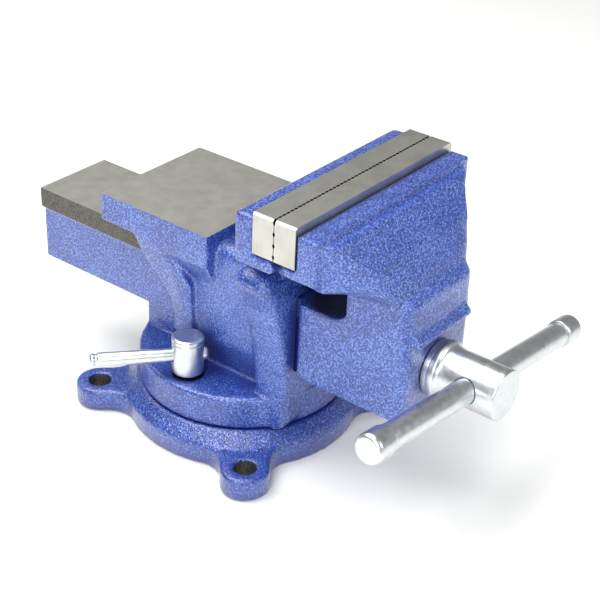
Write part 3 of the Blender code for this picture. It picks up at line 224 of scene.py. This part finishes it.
def ground_iron():
    """Grey cast iron, surface ground: a warm matte grey with faint graphite mottling and fine wheel
    marks along the jaws."""
    material, tree, shader, place = new_material("ground_cast_iron", Metallic=0.9, Roughness=0.46)
    mottle = add(tree, "ShaderNodeTexNoise", {"Vector": place, "Scale": 1 / (9 * MM), "Detail": 5.0})
    stretched = add(tree, "ShaderNodeMapping", {"Vector": place, "Scale": (0.03, 1, 1)})
    marks = add(tree, "ShaderNodeTexNoise", {"Vector": stretched.outputs[0],
                                             "Scale": 1 / (0.9 * MM), "Detail": 2.0})
    both = add(tree, "ShaderNodeMath", {0: marks.outputs[0], 1: 0.35, 2: mottle.outputs[0]},
               operation="MULTIPLY_ADD")
    tone = add(tree, "ShaderNodeValToRGB", {"Fac": both.outputs[0]},
               stops=((0.35, "#a5a49d"), (0.95, "#bab9b2")))
    tree.links.new(tone.outputs[0], shader.inputs["Base Color"])
    bump = add(tree, "ShaderNodeBump", {"Height": marks.outputs[0], "Strength": 0.25,
                                        "Distance": 0.03 * MM})
    tree.links.new(bump.outputs[0], shader.inputs["Normal"])
    return material


def ground_steel():
    """Hardened tool steel, ground: a cool bright grey with fine grinding lines across the plate."""
    material, tree, shader, place = new_material("ground_tool_steel", Metallic=1.0, Roughness=0.38)
    stretched = add(tree, "ShaderNodeMapping", {"Vector": place, "Scale": (1, 1, 0.04)})
    marks = add(tree, "ShaderNodeTexNoise", {"Vector": stretched.outputs[0],
                                             "Scale": 1 / (0.8 * MM), "Detail": 3.0})
    stain = add(tree, "ShaderNodeTexNoise", {"Vector": place, "Scale": 1 / (14 * MM), "Detail": 3.0})
    both = add(tree, "ShaderNodeMath", {0: marks.outputs[0], 1: 0.4, 2: stain.outputs[0]},
               operation="MULTIPLY_ADD")
    tone = add(tree, "ShaderNodeValToRGB", {"Fac": both.outputs[0]},
               stops=((0.35, "#a8a79f"), (0.8, "#c9c8c1")))
    tree.links.new(tone.outputs[0], shader.inputs["Base Color"])
    bump = add(tree, "ShaderNodeBump", {"Height": marks.outputs[0], "Strength": 0.2,
                                        "Distance": 0.02 * MM})
    tree.links.new(bump.outputs[0], shader.inputs["Normal"])
    return material


def bright_zinc():
    """Bright zinc plate on turned steel: a cool silver with soft clouding in tone and gloss."""
    material, tree, shader, place = new_material("bright_zinc_plate", Metallic=1.0)
    cloud = add(tree, "ShaderNodeTexNoise", {"Vector": place, "Scale": 1 / (5 * MM), "Detail": 6.0,
                                             "Roughness": 0.65})
    tone = add(tree, "ShaderNodeValToRGB", {"Fac": cloud.outputs[0]},
               stops=((0.3, "#c6cbce"), (0.7, "#dee1e2")))
    tree.links.new(tone.outputs[0], shader.inputs["Base Color"])
    dull = add(tree, "ShaderNodeValToRGB", {"Fac": cloud.outputs[0]}, stops=((0.3, 0.27), (0.7, 0.38)))
    tree.links.new(dull.outputs[0], shader.inputs["Roughness"])
    return material


def black_oxide():
    """Black oxide on alloy steel: a near-black satin, faintly clouded."""
    material, tree, shader, place = new_material("black_oxide_steel", Metallic=1.0, Roughness=0.42)
    cloud = add(tree, "ShaderNodeTexNoise", {"Vector": place, "Scale": 1 / (3 * MM), "Detail": 3.0})
    tone = add(tree, "ShaderNodeValToRGB", {"Fac": cloud.outputs[0]},
               stops=((0.35, "#17181b"), (0.7, "#2a2b2f")))
    tree.links.new(tone.outputs[0], shader.inputs["Base Color"])
    return material


def machined_iron():
    """Grey cast iron as machined: dark grey with an open, crumbly grain."""
    material, tree, shader, place = new_material("machined_cast_iron", Metallic=0.9, Roughness=0.5)
    grain = add(tree, "ShaderNodeTexNoise", {"Vector": place, "Scale": 1 / (1.2 * MM), "Detail": 5.0})
    tone = add(tree, "ShaderNodeValToRGB", {"Fac": grain.outputs[0]},
               stops=((0.35, "#55524d"), (0.7, "#7b7871")))
    tree.links.new(tone.outputs[0], shader.inputs["Base Color"])
    bump = add(tree, "ShaderNodeBump", {"Height": grain.outputs[0], "Strength": 0.3,
                                        "Distance": 0.05 * MM})
    tree.links.new(bump.outputs[0], shader.inputs["Normal"])
    return material


ENAMEL = hammer_enamel()
GROUND_IRON = ground_iron()
GROUND_STEEL = ground_steel()
ZINC = bright_zinc()
BLACK = black_oxide()
IRON = machined_iron()


# ---- pieces and shapes ------------------------------------------------------------------------


def piece(name, bm, body, slot, replaced, *materials, sharp=35):
    """A finished piece on its body. Faces meet in a hard edge above the sharp angle, in degrees."""
    mesh = bpy.data.meshes.new(name)
    bm.to_mesh(mesh)
    bm.free()
    for material in materials:
        mesh.materials.append(material)
    mesh.shade_smooth()
    mesh.set_sharp_from_angle(angle=math.radians(sharp))
    obj = bpy.data.objects.new(name, mesh)
    bpy.context.scene.collection.objects.link(obj)
    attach(obj, body)
    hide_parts(*replaced)
    return obj


def merged_copy(node):
    """The CAD node's own mesh with its loose triangles joined up."""
    bm = bmesh.new()
    bm.from_mesh(frame["nodes"][node].data)
    bmesh.ops.remove_doubles(bm, verts=bm.verts, dist=0.001 * MM)
    return bm


def baked(bm, *modifiers, first=None):
    """The mesh after modifiers, each given as (kind, settings). first fills its first material slot."""
    mesh = bpy.data.meshes.new("draft")
    bm.to_mesh(mesh)
    bm.free()
    if first:
        mesh.materials.append(first)
    obj = bpy.data.objects.new("draft", mesh)
    bpy.context.scene.collection.objects.link(obj)
    for kind, settings in modifiers:
        modifier = obj.modifiers.new(kind, kind)
        for name, value in settings.items():
            setattr(modifier, name, value)
    bpy.context.view_layer.update()
    made = bpy.data.meshes.new_from_object(obj.evaluated_get(bpy.context.evaluated_depsgraph_get()))
    bpy.data.objects.remove(obj)
    out = bmesh.new()
    out.from_mesh(made)
    bpy.data.meshes.remove(made)
    return out


def as_object(bm, finish=None):
    """A hidden helper for a Boolean, with the finish that it leaves."""
    mesh = bpy.data.meshes.new("helper")
    bm.to_mesh(mesh)
    bm.free()
    if finish:
        mesh.materials.append(finish)
    obj = bpy.data.objects.new("helper", mesh)
    bpy.context.scene.collection.objects.link(obj)
    obj.hide_render = True
    return obj


def cut(bm, *cutters, finish=None):
    """The shape with each cutter's shape taken out of it. A finish goes to the faces it leaves."""
    helpers = [as_object(cutter, finish) for cutter in cutters]
    mode = "TRANSFER" if finish else "INDEX"
    steps = [("BOOLEAN", {"object": h, "operation": "DIFFERENCE", "solver": "EXACT",
                          "material_mode": mode}) for h in helpers]
    out = baked(bm, *steps, first=ENAMEL if finish else None)
    for helper in helpers:
        bpy.data.objects.remove(helper)
    return out


def lathe(outline, place=Matrix(), steps=64):
    """A shape turned about local Z from a (radius, height) outline that starts and ends on the axis,
    or that closes on itself as a ring."""
    bm = bmesh.new()
    verts = [bm.verts.new((r, 0, z)) for r, z in outline]
    pairs = list(zip(verts, verts[1:]))
    if outline[0][0] > 0:
        pairs.append((verts[-1], verts[0]))
    edges = [bm.edges.new(pair) for pair in pairs]
    bmesh.ops.spin(bm, geom=verts + edges, cent=(0, 0, 0), axis=(0, 0, 1), angle=2 * math.pi,
                   steps=steps, use_merge=True)
    bmesh.ops.remove_doubles(bm, verts=bm.verts, dist=0.001 * MM)
    bmesh.ops.recalc_face_normals(bm, faces=bm.faces)
    bmesh.ops.transform(bm, matrix=place, verts=bm.verts)
    return bm


def eased(corners, steps=4):
    """An outline in metres from (radius, height, easing) corners in millimetres, each corner eased
    round over that length."""
    points = []
    count = len(corners)
    for i, (r, z, ease) in enumerate(corners):
        here = Vector((r, z))
        if not ease or i in (0, count - 1):
            points.append(here)
            continue
        before = Vector(corners[i - 1][:2]) - here
        after = Vector(corners[i + 1][:2]) - here
        reach = min(ease, before.length * 0.49, after.length * 0.49)
        start = here + before.normalized() * reach
        end = here + after.normalized() * reach
        for step in range(steps + 1):
            t = step / steps
            points.append((1 - t) ** 2 * start + 2 * t * (1 - t) * here + t * t * end)
    return [(max(p.x, 0) * MM, p.y * MM) for p in points]


def cylinder(radius, low, high, place=Matrix(), steps=48):
    """A closed cylinder on local Z."""
    return lathe([(0, low), (radius, low), (radius, high), (0, high)], place, steps)


def aim(point, direction):
    """A matrix that carries local +Z to a direction, with the origin at a point."""
    return Matrix.Translation(point) @ Vector(direction).to_track_quat("Z", "Y").to_matrix().to_4x4()


# ---- castings ---------------------------------------------------------------------------------


def block(low, high):
    """A closed box between two corners."""
    bm = bmesh.new()
    bmesh.ops.create_cube(bm, size=1.0)
    low, high = Vector(low), Vector(high)
    bmesh.ops.scale(bm, vec=high - low, verts=bm.verts)
    bmesh.ops.translate(bm, vec=(low + high) / 2, verts=bm.verts)
    return bm


def pour_in(bm, *shapes):
    """Adds more closed shapes to a pattern before its skin is made."""
    for shape in shapes:
        mesh = bpy.data.meshes.new("shape")
        shape.to_mesh(mesh)
        shape.free()
        bm.from_mesh(mesh)
        bpy.data.meshes.remove(mesh)
    return bm


def cast_skin(bm, grain, passes):
    """The shape as it leaves the sand: every edge and corner rounded off by an even skin."""
    bm = baked(bm, ("REMESH", {"mode": "VOXEL", "voxel_size": grain, "adaptivity": 0.0}))
    for _ in range(passes):
        bmesh.ops.smooth_vert(bm, verts=bm.verts, factor=0.5, use_axis_x=True, use_axis_y=True,
                              use_axis_z=True)
    return bm


def smooth_inside(bm, low, high, passes):
    """Sweeps the surface inside a box into one flowing curve, and moves nothing along X."""
    chosen = [v for v in bm.verts if all(a < c < b for a, c, b in zip(low, v.co, high))]
    for _ in range(passes):
        bmesh.ops.smooth_vert(bm, verts=chosen, factor=0.5, use_axis_x=False, use_axis_y=True,
                              use_axis_z=True)
    return bm


def machined(bm, finish, *cutters):
    """Takes each cutter's shape out of the casting, and gives the faces it leaves their own finish,
    which becomes the second material."""
    for cutter in cutters:
        bm = cut(bm, cutter, finish=finish)
    return bm


def make_body():
    """Body casting: disc, tunnel, fixed jaw and anvil, with the anvil's face ground off flat."""
    sunk, past = 6 * MM, 9 * MM
    low = (-ANVIL_HALF, ANVIL_FRONT_Y, ANVIL_TOP_Z - sunk)
    stock = block(low, (ANVIL_HALF, ANVIL_REAR_Y, ANVIL_TOP_Z + GRIND_STOCK))
    bm = pour_in(merged_copy("vise_body"), stock)
    bm = cast_skin(bm, 1.2 * MM, 2)
    bm = machined(bm, GROUND_IRON,
                  block((-ANVIL_HALF - 3 * MM, ANVIL_FRONT_Y - 5 * MM, ANVIL_TOP_Z),
                        (ANVIL_HALF + 3 * MM, ANVIL_REAR_Y + 3 * MM, ANVIL_TOP_Z + past)))
    piece("cast_body", bm, "body", "enamel", ["vise_body"], ENAMEL, GROUND_IRON)


def make_moving_jaw():
    """Moving jaw casting with its hollow beam. The beam's top is ground. The strips along its sides are
    left as milled and take the darker machined iron, which also paints shade onto them against the lit
    top."""
    start = STRIP_START_Y
    strip_low = BEAM_TOP_Z - STRIP_HEIGHT
    rear = JAW_HIGH.y
    stock = block((-BEAM_HALF - GRIND_STOCK, start, strip_low),
                  (BEAM_HALF + GRIND_STOCK, rear, BEAM_TOP_Z + GRIND_STOCK))
    core = block((-BEAM_HALF + BEAM_SIDE_WALL, start - 4 * MM, strip_low - 12 * MM),
                 (BEAM_HALF - BEAM_SIDE_WALL, rear + 4 * MM, BEAM_TOP_Z - BEAM_TOP_WALL))
    bm = pour_in(merged_copy("moving_jaw"), cut(stock, core))
    bm = cast_skin(bm, 1.15 * MM, 1)
    bm = smooth_inside(bm, COWL_LOW, COWL_HIGH, 40)
    past = 6 * MM
    top = block((-BEAM_HALF - past, start + MM, BEAM_TOP_Z),
                (BEAM_HALF + past, rear + past, BEAM_TOP_Z + past))
    sides = [block((min(side * BEAM_HALF, side * (BEAM_HALF + past)), start + MM, strip_low - MM),
                   (max(side * BEAM_HALF, side * (BEAM_HALF + past)), rear + past, BEAM_TOP_Z + MM))
             for side in (-1, 1)]
    bm = machined(bm, GROUND_IRON, top, *sides)
    # The strips' side faces take the darker machined iron: their milled finish, and also painted shade
    # against the lit top.
    for face in bm.faces:
        if face.material_index == 1 and abs(face.normal.x) > 0.9:
            face.material_index = 2
    piece("cast_moving_jaw", bm, "slide", "enamel", ["moving_jaw"], ENAMEL, GROUND_IRON, IRON)


def make_base():
    """Swivel base casting: a low ring with four bolting lugs."""
    bm = cast_skin(merged_copy("swivel_base"), 1.2 * MM, 3)
    turns = [math.radians(45 + 90 * i) + BASE_TURN for i in range(4)]
    drills = [cylinder(LUG_HOLE_RADIUS, -5 * MM, 30 * MM, Matrix.Translation(
        (LUG_CIRCLE_RADIUS * math.cos(turn), LUG_CIRCLE_RADIUS * math.sin(turn), 0)))
        for turn in turns]
    # The drilled lug holes are bare machined iron, and their dark grey also stands in for the shade
    # inside the holes: painted shade.
    bm = machined(bm, IRON, *drills)
    piece("cast_base", bm, "base", "enamel", ["swivel_base"], ENAMEL, IRON)


# ---- spindle and handle -----------------------------------------------------------------------


def along_spindle():
    """Local +Z runs towards the handle, so a height is minus the Y of the part."""
    return aim((0, 0, SPINDLE_Z), (0, -1, 0))


def along_handle():
    """Local +Z runs along the bar, towards its right end."""
    return aim((0, HANDLE_Y, SPINDLE_Z), HANDLE_AXIS)


def cut_thread(bm, radius, low, high, pitch, depth):
    """Presses a helical groove into a turned shank that stands on local Z."""
    for vert in bm.verts:
        x, y, z = vert.co
        if not (low < z < high) or abs(math.hypot(x, y) - radius) > 0.01 * MM:
            continue
        turn = (z / pitch + math.atan2(y, x) / (2 * math.pi)) % 1
        groove = min(max((0.5 - abs(turn - 0.5)) * 4 - 0.55, 0), 1)
        runout = min((z - low) / pitch, (high - z) / pitch, 1)
        scale = 1 - depth * groove * runout / radius
        vert.co.x *= scale
        vert.co.y *= scale


def make_spindle():
    """Screw spindle: threaded shank, thrust collar and a round head with a cross hole."""
    rear, head = -SPINDLE_HIGH.y / MM, -SPINDLE_LOW.y / MM
    collar = (-JAW_FRONT_Y + 4.0 * MM) / MM
    shank = SHANK_RADIUS / MM
    thread_low, thread_high = rear + 2, -PIN_HIGH.y / MM - 8
    corners = [(0, rear, 0), (shank - 2, rear, 0.3), (shank, thread_low, 0)]
    rings = int((thread_high - thread_low) / 0.55)
    corners += [(shank, thread_low + (thread_high - thread_low) * i / rings, 0)
                for i in range(1, rings + 1)]
    corners += [
        (shank, collar, 0.4), (COLLAR, collar, 0.6), (COLLAR, collar + COLLAR_WIDTH, 0.9),
        (HEAD + 0.7, collar + 5.4, 1.5), (HEAD, collar + 10, 3.0), (HEAD, head, 1.1), (0, head, 0),
    ]
    bm = lathe(eased(corners), steps=56)
    cut_thread(bm, SHANK_RADIUS, thread_low * MM, thread_high * MM, THREAD_PITCH, THREAD_DEPTH)
    bmesh.ops.transform(bm, matrix=along_spindle(), verts=bm.verts)
    eye = cylinder(HANDLE_RADIUS + 0.4 * MM, -30 * MM, 30 * MM, along_handle())
    pin_hole = cylinder(PIN_HOLE_RADIUS, -20 * MM, 20 * MM,
                        aim((0, (PIN_LOW.y + PIN_HIGH.y) / 2, SPINDLE_Z), (1, 0, 0)), 24)
    piece("turned_spindle", cut(bm, eye, pin_hole), "screw", "zinc", ["spindle"], ZINC)


def make_thrust_washer():
    """Flat ring between the collar and the slide block."""
    low, high = (-v / MM for v in (WASHER_HIGH.y, WASHER_LOW.y))
    rim = (WASHER_HIGH.x - WASHER_LOW.x) / 2 / MM
    ring = [(12.3, low, 0), (rim, low, 0.5), (rim, high, 0.5), (12.3, high, 0)]
    piece("thrust_washer_ring", lathe(eased(ring), along_spindle()), "slide", "zinc",
          ["thrust_washer"], ZINC)


def make_handle():
    """Plain bar with a spigot at each end, and a screwed-on cap over each spigot."""
    left, right = HANDLE_SHOULDERS
    bar = HANDLE_RADIUS / MM
    low, high = -left - SPIGOT_LENGTH, right + SPIGOT_LENGTH
    corners = [
        (0, low, 0), (SPIGOT, low, 0.5), (SPIGOT, -left, 0), (bar, -left, 0.35),
        (bar, right, 0.35), (SPIGOT, right, 0), (SPIGOT, high, 0.5), (0, high, 0),
    ]
    piece("turned_handle_bar", lathe(eased(corners), along_handle()), "handle", "zinc",
          ["handle_bar"], ZINC)
    for name, side, shoulder in (("left", -1, left), ("right", 1, right)):
        start, end = shoulder + 0.3, shoulder + CAP_LENGTH
        cap = [
            (0, start + 12, 0), (CAP_BORE, start + 12, 0), (CAP_BORE, start, 0), (8.4, start, 0.4),
            (CAP, start + 1.4, 0.8), (CAP, end - 1.8, 1.6), (7.4, end, 0.9), (0, end, 0),
        ]
        flip = Matrix.Rotation(math.pi if side < 0 else 0, 4, "X")
        piece(f"handle_cap_{name}", lathe(eased(cap), along_handle() @ flip), "handle", "zinc",
              [f"handle_knob_{name}"], ZINC)


# ---- swivel locks -----------------------------------------------------------------------------


def make_lock(side_name):
    """Tall round lock nut with a thin turned groove, and the tommy bar pressed through it."""
    nut_low, nut_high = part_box(f"lock_nut_{side_name}")
    bar_low, bar_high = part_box(f"lock_bar_{side_name}")
    centre = (nut_low + nut_high) / 2
    low, high = nut_low.z / MM, nut_high.z / MM
    bar_z = (bar_low.z + bar_high.z) / 2
    side = 1 if centre.x > 0 else -1
    turn = math.pi - LOCK_BAR_TURN if side > 0 else LOCK_BAR_TURN
    direction = (math.cos(turn), math.sin(turn), 0)
    nut = [
        (0, high - 0.25, 0), (8.6, high, 1.0), (LOCK_NUT, high - 1.0, 0.5), (LOCK_NUT, high - 3.3, 0.2),
        (9.6, high - 3.7, 0.2), (LOCK_NUT, high - 4.1, 0.2), (LOCK_NUT, low + 0.7, 0.5), (9.3, low, 0.3),
        (6.3, low, 0), (6.3, low + 7.5, 0), (0, low + 7.5, 0),
    ]
    bm = lathe(eased(nut), Matrix.Translation((centre.x, centre.y, 0)))
    through = aim((centre.x, centre.y, bar_z), direction)
    bm = cut(bm, cylinder(LOCK_BAR_HOLE_RADIUS, -20 * MM, 20 * MM, through, 40))
    piece(f"turned_lock_nut_{side_name}", bm, f"lock_{side_name}", "zinc",
          [f"lock_nut_{side_name}"], ZINC)
    bar = [
        (0, -12.6, 0), (3.0, -12.6, 1.2), (LOCK_BAR, -11.2, 0.8), (LOCK_BAR, 55.0, 0.5), (3.5, 55.9, 0.4),
        (3.5, 57.0, 0.4), (4.0, 57.6, 0.3), (4.0, 58.9, 0.6), (3.0, 60.1, 0.8), (0, 60.3, 0),
    ]
    piece(f"turned_lock_bar_{side_name}", lathe(eased(bar), through), f"lock_{side_name}", "zinc",
          [f"lock_bar_{side_name}"], ZINC)


# ---- jaw plates -------------------------------------------------------------------------------


def make_plate(jaw, facing, body):
    """Hardened plate, ground all over but for its blackened grip face, which V grooves cross. Both
    ends are chamfered top and bottom, and two screw holes are countersunk."""
    low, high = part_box(f"{jaw}_jaw_plate")
    grip = high.y if facing > 0 else low.y
    back = low.y if facing > 0 else high.y
    across, up = PLATE_CELLS_ACROSS, PLATE_CELLS_UP
    bm = bmesh.new()
    bmesh.ops.create_grid(bm, x_segments=across, y_segments=up, size=0.5)
    width, height = high.x - low.x, high.z - low.z
    for vert in bm.verts:
        i, j = round((vert.co.x + 0.5) * across), round((vert.co.y + 0.5) * up)
        nearest = min(abs((i + k * j) % GROOVE_CELLS - GROOVE_CELLS / 2) for k in (-1, 1))
        depth = GROOVE_DEPTH * max(0, 1 - nearest / GROOVE_HALF_CELLS)
        vert.co = (low.x + width * (vert.co.x + 0.5), grip - facing * depth,
                   low.z + height * (vert.co.y + 0.5))
    middle = (low + high) / 2
    for side in (-1, 1):
        for level, ease in ((1, 1.3 * MM), (-1, 1.0 * MM)):
            corner = Vector((middle.x + side * width / 2, grip, middle.z + level * height / 2))
            normal = Vector((side, 0, level)).normalized()
            bmesh.ops.bisect_plane(bm, geom=bm.verts[:] + bm.edges[:] + bm.faces[:], dist=0.001 * MM,
                                   plane_co=corner - Vector((side, 0, level)) * ease / 2,
                                   plane_no=normal, clear_outer=True)
    rim = [edge for edge in bm.edges if edge.is_boundary]
    walls = bmesh.ops.extrude_edge_only(bm, edges=rim)["geom"]
    for item in walls:
        if isinstance(item, bmesh.types.BMVert):
            item.co.y = back
    rear = [item for item in walls if isinstance(item, bmesh.types.BMEdge) and
            all(abs(v.co.y - back) < 0.001 * MM for v in item.verts)]
    bmesh.ops.edgeloop_fill(bm, edges=rear)
    bmesh.ops.recalc_face_normals(bm, faces=bm.faces)
    sinks = []
    for side in (-1, 1):
        screw_low, screw_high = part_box(f"{jaw}_plate_screw_{'left' if side < 0 else 'right'}")
        centre = (screw_low + screw_high) / 2
        place = aim((centre.x, grip, centre.z), (0, facing, 0))
        outline = [(0, 4), (7.5, 4), (7.5, -0.4), (4.5, -4.0), (4.5, -20), (0, -20)]
        sinks.append(lathe([(r * MM, z * MM) for r, z in outline], place, 40))
    bm = cut(bm, *sinks)
    for face in bm.faces:
        if face.normal.y * facing > 0.3:
            face.material_index = 1
    piece(f"ground_{jaw}_plate", bm, body, "jaw_steel", [f"{jaw}_jaw_plate"], GROUND_STEEL, BLACK,
          sharp=25)


# ---- small parts kept as the frame has them ---------------------------------------------------


def dress(material, *nodes):
    """Gives the frame's own pieces a finish and leaves their shape alone."""
    for node in nodes:
        mesh = frame["nodes"][node].data
        mesh.materials.clear()
        mesh.materials.append(material)


make_body()
make_moving_jaw()
make_base()
make_spindle()
make_thrust_washer()
make_handle()
make_lock("left")
make_lock("right")
make_plate("fixed", -1, "body")
make_plate("moving", 1, "slide")
dress(IRON, "spindle_nut")
# The lock washers are black oxide, and their black ring under each lock nut also stands in for the nut's
# contact shadow on the disc: painted shadow.
dress(BLACK, "fixed_plate_screw_left", "fixed_plate_screw_right", "moving_plate_screw_left",
      "moving_plate_screw_right", "spindle_spring", "spring_washer", "spindle_pin", "nut_bolt",
      "nut_bolt_washer", "lock_bolt_left", "lock_bolt_right", "lock_washer_left",
      "lock_washer_right")


# ---- floor, light and camera ------------------------------------------------------------------


def make_floor():
    """Pale table, a little under the base."""
    bm = bmesh.new()
    bmesh.ops.create_grid(bm, x_segments=1, y_segments=1, size=3.0)
    bmesh.ops.translate(bm, vec=(0, 0, -0.2 * MM), verts=bm.verts)
    mesh = bpy.data.meshes.new("floor")
    bm.to_mesh(mesh)
    bm.free()
    floor = bpy.data.objects.new("floor", mesh)
    material = bpy.data.materials.new("pale_floor")
    material.use_nodes = True
    shader = material.node_tree.nodes["Principled BSDF"]
    shader.inputs["Base Color"].default_value = colour("#f4f4f2")
    shader.inputs["Roughness"].default_value = 0.6
    mesh.materials.append(material)
    bpy.context.scene.collection.objects.link(floor)


def soft_light(name, place, size, power):
    """A white softbox that faces the vise."""
    light = bpy.data.lights.new(name, "AREA")
    light.shape = "RECTANGLE"
    light.size, light.size_y = size
    light.energy = power
    obj = bpy.data.objects.new(name, light)
    obj.location = place
    obj.rotation_euler = (Vector(LIGHTS_AIM) - Vector(place)).to_track_quat("-Z", "Y").to_euler()
    bpy.context.scene.collection.objects.link(obj)


def make_light():
    """White studio: an even surround, and softboxes at the left, in front and overhead."""
    world = bpy.data.worlds.new("studio")
    world.use_nodes = True
    background = world.node_tree.nodes["Background"]
    background.inputs["Color"].default_value = colour("#ffffff")
    background.inputs["Strength"].default_value = 0.3
    bpy.context.scene.world = world
    soft_light("key_softbox", (-1.05, -0.55, 0.8), (0.7, 0.7), 12.5)
    soft_light("front_softbox", (0.3, -1.4, 0.9), (0.7, 0.7), 8)
    soft_light("top_softbox", (-0.2, 0.5, 1.6), (1.6, 1.2), 34)


def make_camera():
    """Camera that looks down on the moving jaw's left corner, rolled by a few degrees."""
    level = math.cos(CAMERA_ELEVATION)
    back = Vector((math.sin(CAMERA_AZIMUTH) * level, -math.cos(CAMERA_AZIMUTH) * level,
                   math.sin(CAMERA_ELEVATION)))
    right = (-back).cross(Vector((0, 0, 1))).normalized()
    down = (-back).cross(right)
    across = right * math.cos(CAMERA_ROLL) + down * math.sin(CAMERA_ROLL)
    lower = down * math.cos(CAMERA_ROLL) - right * math.sin(CAMERA_ROLL)
    camera = bpy.data.cameras.new("camera")
    camera.sensor_width = 36
    camera.lens = CAMERA_LENS
    obj = bpy.data.objects.new("camera", camera)
    turn = Matrix((across, -lower, back)).transposed().to_4x4()
    obj.matrix_world = Matrix.Translation(CAMERA_PLACE) @ turn
    bpy.context.scene.collection.objects.link(obj)
    bpy.context.scene.camera = obj


make_floor()
make_light()
make_camera()
bpy.context.scene.view_settings.view_transform = "Standard"
